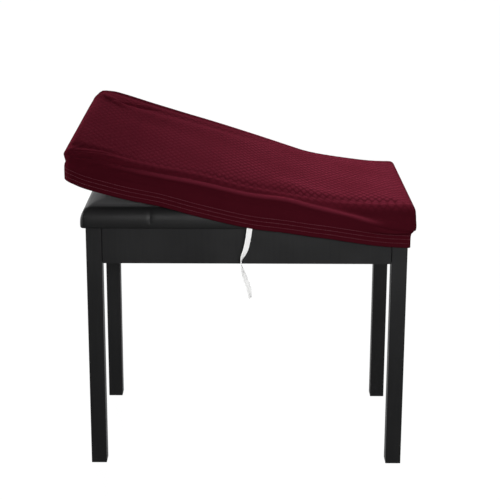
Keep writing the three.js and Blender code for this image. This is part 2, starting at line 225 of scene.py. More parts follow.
# Colours, as linear red, green and blue
TONES = {
    "cloth_dark": (0.041, 0.0034, 0.0069),
    "cloth_light": (0.049, 0.0042, 0.0084),
    # Painted shade between the diamonds and painted light on their crowns
    "diamond_painted_shade": (0.043, 0.0040, 0.0078),
    "diamond_painted_light": (0.074, 0.0081, 0.0157),
    # Painted highlight along the ridge
    "cloth_ridge_highlight": (0.1, 0.0112, 0.0212),
    "cloth_sheen": (0.7, 0.2, 0.3),
    "thread_dark": (0.12, 0.028, 0.04),
    "thread_light": (0.2, 0.055, 0.075),
    "leather_dark": (0.0055, 0.0055, 0.0057),
    "leather_light": (0.008, 0.008, 0.0083),
    # Painted light on the leather where it faces up
    "leather_painted_top_light": (0.064, 0.064, 0.065),
    "wood_dark": (0.006, 0.006, 0.0065),
    "wood_light": (0.011, 0.011, 0.0115),
    # Painted shade in the tape's hollows
    "tape_hollow_painted_shade": (0.82, 0.82, 0.81),
    "tape_rib": (0.95, 0.95, 0.94),
    "floor": (0.02, 0.02, 0.02),
    "white": (1, 1, 1),
}

# The room's light, by the height of the direction it comes from, -1 to 1: height, strength
FRONT_WALL = [(-1, 0.3), (-0.1, 0.2), (0.0, 0.15), (0.4, 0.12), (1, 0.05)]
BACK_WALL = [(-1, 0.3), (-0.1, 0.6), (-0.02, 1.5), (0.18, 1.5), (0.3, 0.5), (0.65, 0.1), (1, 0.05)]
WALLS_MEET = (-0.4, 0.4)
FLOOR_REACH = 30

# Lights, in metres. The far one is given by the way towards it, and each panel by its place, what it
# is aimed at and its size. Spreads are in degrees.
BACK_LIGHT = {"direction": (-0.15, 0.93, 0.33), "spread": 12, "strength": 11}
PANEL_COLUMNS = ("name", "place", "towards", "size", "power", "spread")
PANELS = [
    ("front_light", (0.45, -2.3, 1.1), (0.12, 0.0, 0.42), (0.9, 0.4), 4.7, 60),
    ("left_light", (-1.35, -0.05, 0.72), (-0.22, -0.08, 0.5), (0.6, 0.3), 2.8, 80),
    ("overhead_light", (0.5, 0.1, 1.35), (0.46, 0.05, 0.5), (0.6, 0.6), 4.7, 115),
]

# The photograph's camera. Its pitch and roll are in radians.
CAMERA_PLACE = (0, -2462.95, 1080.41)
CAMERA_PITCH = math.radians(14.592)
CAMERA_ROLL = 0.00361
FOCAL_PIXELS = 1340.7
FRAME_PIXELS = 500
SENSOR = 36
CAMERA_SHIFT = (0.006, -0.08)


def bench_middle():
    """The middle of the four legs on the floor, in the frame, in metres."""
    corners = np.array([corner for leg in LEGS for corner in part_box(leg)])
    middle = (corners.min(0) + corners.max(0)) / 2
    return np.array([middle[0], middle[1], corners[:, 2].min()])


MIDDLE = bench_middle()


def table(columns, rows):
    """Rows of a table as one array for each named column."""
    return dict(zip(columns, np.array(rows, float).T))


def column_at(along, values, at):
    """Values on a smooth curve through a table's rows, at places along one of its columns."""
    at = np.clip(at, along[0], along[-1])
    before = np.maximum(np.arange(len(along)) - 1, 0)
    after = np.minimum(np.arange(len(along)) + 1, len(along) - 1)
    slope = (values[after] - values[before]) / (along[after] - along[before])
    i = np.clip(np.searchsorted(along, at) - 1, 0, len(along) - 2)
    span = along[i + 1] - along[i]
    t = (at - along[i]) / span
    rise = t * t * (3 - 2 * t)
    leave = t * (1 - t) ** 2 * span * slope[i]
    arrive = t * t * (t - 1) * span * slope[i + 1]
    return values[i] + (values[i + 1] - values[i]) * rise + leave + arrive


def smoothstep(t, low, high):
    """A smooth rise from 0 to 1 between two values."""
    s = np.clip((t - low) / (high - low), 0, 1)
    return s * s * (3 - 2 * s)


def mix(a, b, share):
    """A value a share of the way from one to another."""
    return a + (b - a) * share


FRONT = table(SIDE_COLUMNS, FRONT_SIDE)
BACK = table(SIDE_COLUMNS, BACK_SIDE)
SEAT_CROWN = np.array([(-out, height) for out, height in SEAT_SECTION if -out >= SEAT_RIM], float)
CROWN = np.array(COVER_CROWN, float)


def side_value(column, x, y):
    """A column of the two side tables at a place, blended from front to back."""
    across = np.clip((y / COVER["half_depth"] + 1) / 2, 0, 1)
    front = column_at(FRONT["x"], FRONT[column], x)
    back = column_at(BACK["x"], BACK[column], x)
    return mix(front, back, across)


def fold_rise(folds, u, v):
    """The sum of folds at a place, each one fading at its ends and to its sides."""
    total = np.zeros_like(u)
    for from_x, from_y, to_x, to_y, width, rise in folds:
        along_x, along_y = to_x - from_x, to_y - from_y
        length = math.hypot(along_x, along_y)
        t = ((u - from_x) * along_x + (v - from_y) * along_y) / length ** 2
        aside = ((u - from_x) * along_y - (v - from_y) * along_x) / length
        fade = smoothstep(t, *FOLD_START) * (1 - smoothstep(t, *FOLD_END))
        total += rise * fade * np.exp(-(aside / width) ** 2)
    return total


def crowned_edge(x, y):
    """Height of the cover's top without its folds. Its crown runs on to the lifted left end."""
    inset = np.minimum(SEAT["right"] - x, SEAT["half_depth"] - np.abs(y))
    return side_value("edge", x, y) + column_at(CROWN[:, 0], CROWN[:, 1], inset)


def top_height(x, y):
    """Height of the cover's top at a place."""
    return crowned_edge(x, y) + fold_rise(TOP_FOLDS, x, y)


def lean_at(x, y):
    """How far the cover's left end leans along X at a place: out at the front and in at the back."""
    share = (COVER["right"] - x) / (COVER["right"] - COVER["left"])
    across = np.clip((y / COVER["half_depth"] + 1) / 2, 0, 1)
    return share * mix(LEFT_LEAN["front"], LEFT_LEAN["back"], across)


def outline_places(steps, along=None):
    """Places around an outline, counter-clockwise from the middle of its right end: where each lies
    between the corners, -1 to 1 each way, and the way that it faces."""
    if along is None:
        along = 1 - 2 * np.arange(steps["long"]) / steps["long"]
    end = 1 - 2 * np.arange(steps["end"]) / steps["end"]
    half = steps["end"] // 2
    turn = np.arange(steps["corner"]) / steps["corner"] * math.pi / 2

    def straight(x, y, facing):
        x, y = np.broadcast_arrays(np.asarray(x, float), np.asarray(y, float))
        return np.stack([x, y, np.full(x.shape, facing[0]), np.full(x.shape, facing[1])], 1)

    def corner(x, y, quarter):
        angle = turn + quarter * math.pi / 2
        spot = np.ones_like(angle)
        return np.stack([x * spot, y * spot, np.cos(angle), np.sin(angle)], 1)

    return np.concatenate([
        straight(1, -end[half:], (1.0, 0.0)),
        corner(1, 1, 0),
        straight(along, 1, (0.0, 1.0)),
        corner(-1, 1, 1),
        straight(-1, end, (-1.0, 0.0)),
        corner(-1, -1, 2),
        straight(-along, -1, (0.0, -1.0)),
        corner(1, -1, 3),
        straight(1, -end[:half], (1.0, 0.0)),
    ])


def outline_at(plan, places, out, least_corner):
    """Points of a rounded rectangle that is grown outwards at each place."""
    radius = np.maximum(plan["corner"] + out, least_corner)
    half_width = (plan["right"] - plan["left"]) / 2 + out - radius
    half_depth = plan["half_depth"] + out - radius
    x = (plan["right"] + plan["left"]) / 2 + places[:, 0] * half_width + radius * places[:, 2]
    y = places[:, 1] * half_depth + radius * places[:, 3]
    return x, y


def spline(points, share):
    """A smooth curve through points, at a share of the way from the first to the last."""
    last = len(points) - 1
    at = np.clip(share, 0, 1) * last
    i = np.minimum(at.astype(int), last - 1)
    t = (at - i)[:, None]
    p0, p1 = points[np.maximum(i - 1, 0)], points[i]
    p2, p3 = points[i + 1], points[np.minimum(i + 2, last)]
    leave, arrive = (p2 - p0) / 2, (p3 - p1) / 2
    rise = t * t * (3 - 2 * t)
    return p1 + (p2 - p1) * rise + leave * t * (1 - t) ** 2 + arrive * t * t * (t - 1)


def ring_faces(rings, count, first=0):
    """Faces between rings of equal length, ordered upwards."""
    k = np.arange(count)
    quad = np.stack([k, (k + 1) % count, (k + 1) % count + count, k + count], 1)
    return np.concatenate([quad + first + ring * count for ring in range(rings - 1)])


def grid_inside(places_count, steps, long_steps):
    """How a grid fills a ring: the ring's place for each point of the grid's rim, and its size.
    A column runs from the back to the front and a row from the right to the left."""
    corner = steps["corner"]
    columns = long_steps + corner
    rows = steps["end"] + corner
    back = steps["end"] // 2 + corner // 2
    left = back + columns
    front = left + rows
    right = front + columns
    rim = np.full((columns + 1, rows + 1), -1)
    j, i = np.arange(columns + 1), np.arange(rows + 1)
    rim[j, 0] = (back + j) % places_count
    rim[columns, i] = (left + i) % places_count
    rim[j, rows] = (front + columns - j) % places_count
    rim[0, i] = (right + rows - i) % places_count
    return rim


def grid_faces(grid):
    """Faces of a grid of point numbers, facing up."""
    return np.stack([grid[:-1, :-1], grid[1:, :-1], grid[1:, 1:], grid[:-1, 1:]], -1).reshape(-1, 4)


def fill_ring(ring_x, ring_y, rim, first, next_free):
    """Numbers for the points of a grid inside a ring, and the places of the new ones."""
    grid = np.where(rim >= 0, rim + first, -1)
    inner = np.nonzero(grid < 0)
    grid[inner] = next_free + np.arange(len(inner[0]))
    x = ring_x[rim[inner[0], 0]]
    y = ring_y[rim[-1, inner[1]]]
    return grid, x, y


def normals_of(points, faces):
    """A normal at each point, from the quads around it."""
    a, b, c, d = (points[faces[:, i]] for i in range(4))
    face = np.cross(c - a, d - b)
    total = np.zeros_like(points)
    for i in range(4):
        np.add.at(total, faces[:, i], face)
    return total / np.linalg.norm(total, axis=1, keepdims=True)


def new_piece(name, points, face_groups, material, attributes=None):
    """A smooth mesh object in the frame, from points in bench millimetres and groups of like faces."""
    mesh = bpy.data.meshes.new(name)
    faces = [face for group in face_groups for face in group.tolist()]
    mesh.from_pydata((points * MM + MIDDLE).tolist(), [], faces)
    mesh.materials.append(material)
    for label, values in (attributes or {}).items():
        kind = "FLOAT_VECTOR" if values.ndim == 2 else "FLOAT"
        slot = mesh.attributes.new(label, kind, "POINT")
        slot.data.foreach_set("vector" if values.ndim == 2 else "value", values.astype(np.float32).ravel())
    mesh.update()
    mesh.shade_smooth()
    piece = bpy.data.objects.new(name, mesh)
    bpy.context.scene.collection.objects.link(piece)
    return piece


class Shader:
    """A material's nodes, with short ways to add and join them."""

    def __init__(self, name):
        self.material = bpy.data.materials.new(name)
        self.material.use_nodes = True
        self.nodes = self.material.node_tree.nodes
        self.links = self.material.node_tree.links
        self.surface = self.nodes["Principled BSDF"]

    def node(self, kind, **settings):
        node = self.nodes.new(kind)
        for key, value in settings.items():
            setattr(node, key, value)
        return node

    def join(self, value, socket):
        if isinstance(value, bpy.types.NodeSocket):
            self.links.new(value, socket)
        else:
            socket.default_value = value

    def math(self, operation, *values):
        node = self.node("ShaderNodeMath", operation=operation)
        for value, socket in zip(values, node.inputs):
            self.join(value, socket)
        return node.outputs[0]

    def wave(self, shape, place, pitch):
        """A sine or cosine along a place in metres, with its pitch in millimetres."""
        return self.math(shape, self.math("MULTIPLY", place, 2 * math.pi / (pitch * MM)))

    def ramp(self, value, low, high, to_low=0.0, to_high=1.0):
        node = self.node("ShaderNodeMapRange", interpolation_type="SMOOTHSTEP")
        for socket, setting in zip(node.inputs, (value, low, high, to_low, to_high)):
            self.join(setting, socket)
        return node.outputs[0]

    def blend(self, share, a, b):
        node = self.node("ShaderNodeMix", data_type="RGBA")
        self.join(share, node.inputs["Factor"])
        first, second = (socket for socket in node.inputs if socket.type == "RGBA")
        self.join(a, first)
        self.join(b, second)
        return next(socket for socket in node.outputs if socket.type == "RGBA")

    def attribute(self, name, output):
        return self.node("ShaderNodeAttribute", attribute_name=name).outputs[output]

    def place(self, stretch=(1, 1, 1)):
        where = self.node("ShaderNodeTexCoord").outputs["Object"]
        mapping = self.node("ShaderNodeMapping")
        self.join(where, mapping.inputs["Vector"])
        mapping.inputs["Scale"].default_value = stretch
        return mapping.outputs["Vector"]

    def noise(self, where, scale, detail=2.0):
        node = self.node("ShaderNodeTexNoise")
        self.join(where, node.inputs["Vector"])
        node.inputs["Scale"].default_value = scale
        node.inputs["Detail"].default_value = detail
        return node.outputs[0]

    def bump(self, height, distance, strength=1.0, under=None):
        node = self.node("ShaderNodeBump")
        node.inputs["Distance"].default_value = distance
        node.inputs["Strength"].default_value = strength
        self.join(height, node.inputs["Height"])
        if under is not None:
            self.join(under, node.inputs["Normal"])
        return node.outputs["Normal"]

    def set(self, **values):
        for key, value in values.items():
            self.join(value, self.surface.inputs[key.replace("_", " ")])
        return self.material


def colour(name):
    """A named tone as a colour for a socket."""
    return (*TONES[name], 1.0)


def cover_cloth():
    """Burgundy stretch jacquard: knitted diamonds on the top, with painted shade between them and painted
    light on their crowns, a plain knit on the skirt, and a painted highlight along the ridge."""
    cloth = Shader("burgundy_jacquard")
    where = cloth.attribute("cloth_place", "Vector")
    parts = cloth.node("ShaderNodeSeparateXYZ")
    cloth.join(where, parts.inputs[0])
    across, along = parts.outputs[0], parts.outputs[1]
    cos_across = cloth.wave("COSINE", across, DIAMOND["across"])
    cos_along = cloth.wave("COSINE", along, DIAMOND["along"])
    puff = cloth.math("ABSOLUTE", cloth.math("MULTIPLY", cloth.math("ADD", cos_across, cos_along), 0.5))
    strength = cloth.attribute("diamond_strength", "Fac")
    uneven = cloth.noise(where, CLOTH_CLOUDS, 3.0)
    plain = cloth.blend(uneven, colour("cloth_dark"), colour("cloth_light"))
    # Painted shade between the diamonds, painted light on their crowns
    diamond_shading = cloth.blend(cloth.ramp(puff, *DIAMOND["painted_shade_to_light"]),
                         colour("diamond_painted_shade"), colour("diamond_painted_light"))
    woven = cloth.blend(strength, plain, diamond_shading)
    # A painted highlight along the ridge
    ridge = cloth.math("MULTIPLY", cloth.attribute("painted_ridge_highlight", "Fac"), PAINTED_HIGHLIGHT_ON_RIDGE["share"])
    tone = cloth.blend(ridge, woven, colour("cloth_ridge_highlight"))
    rib = cloth.wave("SINE", across, KNIT["rib"])
    course = cloth.wave("SINE", along, KNIT["course"])
    knit = cloth.math("MULTIPLY", rib, course)
    fine = cloth.bump(knit, KNIT["bump"] * MM)
    quilted = cloth.bump(cloth.math("MULTIPLY", puff, strength), DIAMOND["bump"] * MM, under=fine)
    return cloth.set(
        Base_Color=tone, Roughness=0.82, Specular_IOR_Level=0.0, Sheen_Weight=0.01,
        Sheen_Roughness=0.5, Sheen_Tint=colour("cloth_sheen"), Normal=quilted,
    )


def seat_leather():
    """Black imitation leather with a fine grain and a soft gloss. Its top is painted greyer, as painted
    light, and is duller."""
    leather = Shader("black_leather")
    where = leather.place()
    cells = leather.node("ShaderNodeTexVoronoi", feature="DISTANCE_TO_EDGE")
    leather.join(where, cells.inputs["Vector"])
    cells.inputs["Scale"].default_value = LEATHER["grain"]
    pebble = leather.ramp(cells.outputs["Distance"], 0.0, LEATHER["groove"])
    cloudy = leather.noise(where, LEATHER["clouds"], 3.0)
    black = leather.blend(cloudy, colour("leather_dark"), colour("leather_light"))
    facing = leather.node("ShaderNodeSeparateXYZ")
    leather.join(leather.node("ShaderNodeNewGeometry").outputs["Normal"], facing.inputs[0])
    # The leather is painted greyer where it faces up: painted light
    painted_light_on_top = leather.ramp(facing.outputs["Z"], *LIGHT_PAINTED_ON_TOP["facing"])
    tone = leather.blend(painted_light_on_top, black, colour("leather_painted_top_light"))
    rough = leather.ramp(cloudy, *CLOUD_RANGE, *LEATHER["rough"])
    dulled = leather.math("ADD", rough, leather.math("MULTIPLY", painted_light_on_top, LIGHT_PAINTED_ON_TOP["duller"]))
    grain = leather.bump(pebble, LEATHER["bump"] * MM)
    return leather.set(Base_Color=tone, Roughness=dulled, Specular_IOR_Level=0.2, Normal=grain)


def bench_wood():
    """Black satin lacquer over a close wood grain."""
    wood = Shader("black_wood")
    streak = wood.noise(wood.place(WOOD["stretch"]), WOOD["streaks"], 4.0)
    cloudy = wood.noise(wood.place(), WOOD["clouds"], 3.0)
    tone = wood.blend(streak, colour("wood_dark"), colour("wood_light"))
    rough = wood.ramp(cloudy, *CLOUD_RANGE, *WOOD["rough"])
    grain = wood.bump(streak, WOOD["bump"] * MM)
    return wood.set(Base_Color=tone, Roughness=rough, Specular_IOR_Level=0.3, Normal=grain)


def tape_elastic():
    """White woven elastic with a painted glow: ribs along the tape, fine picks across it, painted shade
    between them.
    """
    tape = Shader("white_elastic")
    parts = tape.node("ShaderNodeSeparateXYZ")
    tape.join(tape.attribute("tape_place", "Vector"), parts.inputs[0])
    across, along = parts.outputs[0], parts.outputs[1]
    rib = tape.wave("COSINE", across, TAPE_WEAVE["rib"])
    pick = tape.wave("COSINE", along, TAPE_WEAVE["pick"])
    weave = tape.math("ADD", rib, tape.math("MULTIPLY", pick, TAPE_WEAVE["pick_share"]))
    # Painted shade in the weave's hollows
    tone = tape.blend(tape.ramp(weave, *TAPE_WEAVE["painted_shade_to_rib"]),
                      colour("tape_hollow_painted_shade"), colour("tape_rib"))
    # The emission is a painted glow that whitens the tape
    return tape.set(
        Base_Color=tone, Roughness=0.75, Specular_IOR_Level=0.25, Emission_Color=colour("white"),
        Emission_Strength=0.14, Normal=tape.bump(weave, TAPE_WEAVE["bump"] * MM),
    )


def stitch_thread():
    """Burgundy polyester thread, a shade lighter than the cloth."""
    thread = Shader("burgundy_thread")
    fleck = thread.noise(thread.place(), THREAD_FLECKS, 1.0)
    tone = thread.blend(fleck, colour("thread_dark"), colour("thread_light"))
    return thread.set(Base_Color=tone, Roughness=0.55, Specular_IOR_Level=0.4)


def side_sections(places):
    """The cover's section at each place of its outline, from the hem to a little way in over the top,
    as points of how far out and how high."""
    x, y = outline_at(COVER, places, np.zeros(len(places)), SOFT_CORNER)
    edge = crowned_edge(x, y)
    ridge, ridge_out, hem, hem_out = (side_value(column, x, y) for column in SIDE_COLUMNS[2:])
    under_out = ridge_out / 2 + UNDER_RIDGE["out"]
    lip_out = under_out - SEAT_LIP["less"]
    rim = top_height(*outline_at(COVER, places, -float(ROLL_INSET), SOFT_CORNER))
    inner = top_height(*outline_at(COVER, places, -2.0 * ROLL_INSET, SOFT_CORNER))
    every = np.ones_like(x)
    rows = [
        (hem_out, hem),
        (hem_out, hem + HEM_DEPTH),
        (mix(hem_out, lip_out, DRAW_IN["ease"]), mix(ridge, hem, DRAW_IN["share"])),
        (lip_out, mix(ridge, hem, SEAT_LIP["share"])),
        (under_out, mix(ridge, hem, UNDER_RIDGE["share"])),
        (ridge_out, ridge),
        (ridge_out / 2 + ROLL_FACE["out"], mix(edge, ridge, ROLL_FACE["share"])),
        (ROLL_SHOULDER["out"] * every, mix(edge, ridge, ROLL_SHOULDER["share"])),
        (ROLL_BROW["out"] * every, mix(edge, ridge, ROLL_BROW["share"])),
        (-ROLL_INSET * every, rim),
        (-2 * ROLL_INSET * every, inner),
    ]
    return np.array([np.stack(row, 1) for row in rows]).transpose(1, 0, 2)


def section_levels(section, steps):
    """Places up one section, with how far each lies down the cloth from its rolled edge, up from its hem
    and up from its ridge."""
    shares = np.linspace(0, 1 - 1 / (len(section) - 1), SECTION_SAMPLES)
    line = spline(section, shares)
    length = np.concatenate([[0], np.cumsum(np.linalg.norm(np.diff(line, axis=0), axis=1))])
    ridge = np.interp(RIDGE_SHARE, shares, length)
    at = np.concatenate([
        np.linspace(0, HEM_ZONE, steps["hem"], endpoint=False),
        np.linspace(HEM_ZONE, ridge - ROLL_ZONE, steps["skirt"], endpoint=False),
        np.linspace(ridge - ROLL_ZONE, length[-1], steps["roll"] + 1),
    ])
    points = np.stack([np.interp(at, length, line[:, i]) for i in range(2)], 1)
    return points, length[-1] - at, at, at - ridge


def cover_surface(steps):
    """The cover's middle surface: points, faces, places on the flat cloth, how far up the cloth each point
    is from the hem and from the ridge, and how many points a ring has."""
    places = outline_places(steps)
    count = len(places)
    sections = side_sections(places)
    levels = [section_levels(section, steps) for section in sections]
    out = np.array([level[0][:, 0] for level in levels])
    height = np.array([level[0][:, 1] for level in levels])
    down, over_hem, over_ridge = (np.array([level[i] for level in levels]) for i in (1, 2, 3))
    ring_x, ring_y = outline_at(COVER, places, -float(ROLL_INSET), SOFT_CORNER)
    points, flat, over, from_ridge = [], [], [], []
    for level in range(out.shape[1]):
        x, y = outline_at(COVER, places, out[:, level], SOFT_CORNER)
        points.append(np.stack([x + lean_at(x, y), y, height[:, level]], 1))
        drop = down[:, level]
        flat.append(np.stack([ring_x + places[:, 2] * drop, ring_y + places[:, 3] * drop], 1))
        over.append(over_hem[:, level])
        from_ridge.append(over_ridge[:, level])
    rings = len(points)
    rim = grid_inside(count, steps, steps["long"])
    grid, x, y = fill_ring(ring_x, ring_y, rim, (rings - 1) * count, rings * count)
    points.append(np.stack([x + lean_at(x, y), y, top_height(x, y)], 1))
    flat.append(np.stack([x, y], 1))
    over.append(np.full(len(x), over_hem.max()))
    from_ridge.append(np.full(len(x), over_ridge.max()))
    faces = np.concatenate([ring_faces(rings, count), grid_faces(grid)])
    heights = {"hem": np.concatenate(over), "ridge": np.concatenate(from_ridge)}
    return np.concatenate(points), faces, np.concatenate(flat), heights, count


def stray(a, b):
    """How far the knitted rows stray sideways."""
    return sum(reach * np.sin(a / one_way + b / other_way + start)
               for reach, one_way, other_way, start in ROWS_STRAY)


def creased_surface(steps):
    """The cover's middle surface with its ridge, tuck and creases, the ways that it faces, and how far the
    painted ridge highlight shows at each point."""
    points, faces, flat, heights, count = cover_surface(steps)
    u, v = flat[:, 0], flat[:, 1]
    broad = mix(RIDGE_BROADENS["first"], RIDGE_BROADENS["last"],
                smoothstep(u, RIDGE_BROADENS["from"], RIDGE_BROADENS["to"]))
    up = heights["ridge"] / broad
    welt = sum(rise * np.exp(-((up - place) / width) ** 2) for place, width, rise in RIDGE_WELT)
    ends = 1 - smoothstep(u, *WELT_ENDS)
    below = mix(TUCK["first"], TUCK["last"], smoothstep(u, TUCK["from"], TUCK["to"]))
    tuck = np.exp(-((heights["ridge"] + below) / TUCK["width"]) ** 2) * smoothstep(u, *TUCK_STARTS)
    creased = fold_rise(CREASES, u, v) + welt * smoothstep(u, *WELT_STARTS) * ends - TUCK["depth"] * tuck
    points = points + normals_of(points, faces) * creased[:, None]
    # A painted highlight along the ridge, as a share at each point
    light = np.exp(-((up - PAINTED_HIGHLIGHT_ON_RIDGE["up"]) / PAINTED_HIGHLIGHT_ON_RIDGE["width"]) ** 2)
    light *= smoothstep(u, *PAINTED_HIGHLIGHT_ON_RIDGE["starts"]) * ends
    return points, faces, normals_of(points, faces), flat, heights, count, light


def knit_strength(u, v):
    """How far the knitted diamonds show: on the top alone, and less where the cloth is drawn smooth."""
    on_top = np.minimum(np.minimum(u - COVER["left"], COVER["right"] - u), COVER["half_depth"] - np.abs(v))
    drawn = mix(DIAMOND_FADES["least"], 1.0, smoothstep(u, DIAMOND_FADES["from"], DIAMOND_FADES["to"]))
    first, second = (np.sin(u / across + v / along)
                     for across, along in (DIAMOND_PATCHES["first"], DIAMOND_PATCHES["second"]))
    uneven = DIAMOND_PATCHES["mean"] + DIAMOND_PATCHES["swing"] * first * second
    return smoothstep(on_top, *DIAMOND_EDGE) * drawn * uneven


def cover():
    """The cover: creased, knitted in diamonds, given its thickness and closed along the hem."""
    points, faces, normals, flat, heights, count, light = creased_surface(OUTSIDE)
    u, v = flat[:, 0], flat[:, 1]
    strength = knit_strength(u, v)
    u, v = u + stray(u, v), v + stray(v, u)
    lattice = np.cos(u * 2 * math.pi / DIAMOND["across"]) * np.cos(v * 2 * math.pi / DIAMOND["along"])
    half = CLOTH_THICKNESS / 2
    outside = points + normals * (half + DIAMOND_RISE / 2 * lattice * strength)[:, None]
    turned = points[:count] - np.array([0, 0, HEM_TURN])
    points, inner_faces, normals, inner_flat, _, inner_count, _ = creased_surface(INSIDE)
    inside = points - normals * half
    first_inside = len(outside)
    first_turned = first_inside + len(inside)
    k = np.arange(count)
    after = (k + 1) % count
    j = np.arange(inner_count)
    near, far = first_inside + j, first_inside + (j + 1) % inner_count
    start, middle, end = (first_turned + (2 * j + i) % count for i in range(3))
    quads = np.concatenate([
        faces, inner_faces[:, ::-1] + first_inside,
        np.stack([k, first_turned + k, first_turned + after, after], 1),
        np.stack([start, near, far, middle], 1),
    ])
    triangles = np.stack([middle, far, end], 1)
    woven = np.concatenate([np.stack([u, v], 1), inner_flat, flat[:count]]) * MM
    plain = np.zeros(len(inside) + count)
    piece = new_piece(
        "cover_cloth", np.concatenate([outside, inside, turned]), [quads, triangles], cover_cloth(),
        {
            "cloth_place": np.concatenate([woven, np.zeros((len(woven), 1))], 1),
            "diamond_strength": np.concatenate([strength, plain]),
            "painted_ridge_highlight": np.concatenate([light, plain]),
        },
    )
    return piece, outside, normals_of(outside, faces), heights["hem"], count


def seat_columns():
    """Places along the seat's long sides, right to left, close together at its two seams."""
    even = 1 - 2 * np.arange(SEAT_STEPS["long"]) / SEAT_STEPS["long"]
    half = SEAT["right"] - SEAT["corner"]
    around = (np.arange(SEAT_SEAM["columns"]) - SEAT_SEAM["columns"] // 2) * SEAT_SEAM["spacing"]
    seams = np.concatenate([sign * SEAT_SEAM["x"] + around for sign in (-1, 1)]) / half
    clear = np.abs(even[:, None] - seams[None]).min(1) > SEAT_SEAM["spacing"] / half
    return np.sort(np.concatenate([even[clear], seams]))[::-1]


def seat_pad(material):
    """The padded seat: a lipped lower edge, upright sides, a rolled rim, a low crown and two seams."""
    along = seat_columns()
    places = outline_places(SEAT_STEPS, along)
    count = len(places)
    side = np.array([(out, height) for out, height in SEAT_SECTION if -out <= SEAT_RIM], float)
    profile = spline(side, np.linspace(0, 1, SEAT_SIDE_LEVELS))
    points = []
    for out, height in profile:
        x, y = outline_at(SEAT, places, out, SOFT_CORNER)
        points.append(np.stack([x, y, np.full(count, SEAT_BOTTOM + height)], 1))
    rings = len(points)
    rim = grid_inside(count, SEAT_STEPS, len(along))
    top_x, top_y = points[-1][:, 0], points[-1][:, 1]
    low_x, low_y = points[0][:, 0], points[0][:, 1]
    grid, x, y = fill_ring(top_x, top_y, rim, (rings - 1) * count, rings * count)
    inset = np.minimum(SEAT["right"] - np.abs(x), SEAT["half_depth"] - np.abs(y))
    points.append(np.stack([x, y, SEAT_BOTTOM + column_at(SEAT_CROWN[:, 0], SEAT_CROWN[:, 1], inset)], 1))
    under, x, y = fill_ring(low_x, low_y, rim, 0, sum(len(p) for p in points))
    points.append(np.stack([x, y, np.full(len(x), SEAT_BOTTOM)], 1))
    faces = np.concatenate([ring_faces(rings, count), grid_faces(grid), grid_faces(under)[:, ::-1]])
    points = np.concatenate(points)
    seam = np.exp(-((np.abs(points[:, 0]) - SEAT_SEAM["x"]) / SEAT_SEAM["width"]) ** 2)
    above = smoothstep(points[:, 2] - SEAT_BOTTOM, *SEAT_SEAM_STARTS)
    dip = normals_of(points, faces) * (seam * above * SEAT_SEAM["depth"])[:, None]
    return new_piece("seat_upholstery", points - dip, [faces], material)


def elastic_tape(material):
    """The tape: a flat woven band that hangs from inside the hem and turns as it falls."""
    line = table(TAPE_COLUMNS, TAPE_LINE)
    step = np.arange(len(TAPE_LINE), dtype=float)
    at = np.linspace(0, step[-1], TAPE_STEPS + 1)
    x, z, turn = (column_at(step, line[c], at) for c in TAPE_COLUMNS)
    turn = np.radians(turn)
    length = np.concatenate([[0], np.cumsum(np.hypot(np.diff(x), np.diff(z)))])
    half, thick = TAPE_WIDTH / 2, TAPE_THICKNESS / 2
    rounding = np.linspace(-math.pi / 2, math.pi / 2, TAPE_OUTLINE["edge"])
    edge = np.stack([half - thick + thick * np.cos(rounding), thick * np.sin(rounding)], 1)
    flat = np.linspace(half - thick, -half + thick, TAPE_OUTLINE["face"] + 2)[1:-1]
    face = np.stack([flat, np.full(len(flat), thick)], 1)
    outline = np.concatenate([edge, face, -edge, -face])
    count = len(outline)
    across = np.stack([np.cos(turn), np.sin(turn), 0 * turn], 1)
    through = np.stack([-np.sin(turn), np.cos(turn), 0 * turn], 1)
    centre = np.stack([x, np.full(len(x), TAPE_Y), z], 1)
    points = (centre[:, None] + across[:, None] * outline[None, :, :1]
              + through[:, None] * outline[None, :, 1:]).reshape(-1, 3)
    quads = ring_faces(TAPE_STEPS + 1, count)[:, ::-1]
    ends = np.stack([np.arange(count), TAPE_STEPS * count + np.arange(count)[::-1]])
    place = np.stack([np.tile(outline[:, 0], len(x)), np.repeat(length, count),
                      np.zeros(len(points))], 1) * MM
    return new_piece("tape_elastic", points, [quads, ends], material, {"tape_place": place}), length[-1]


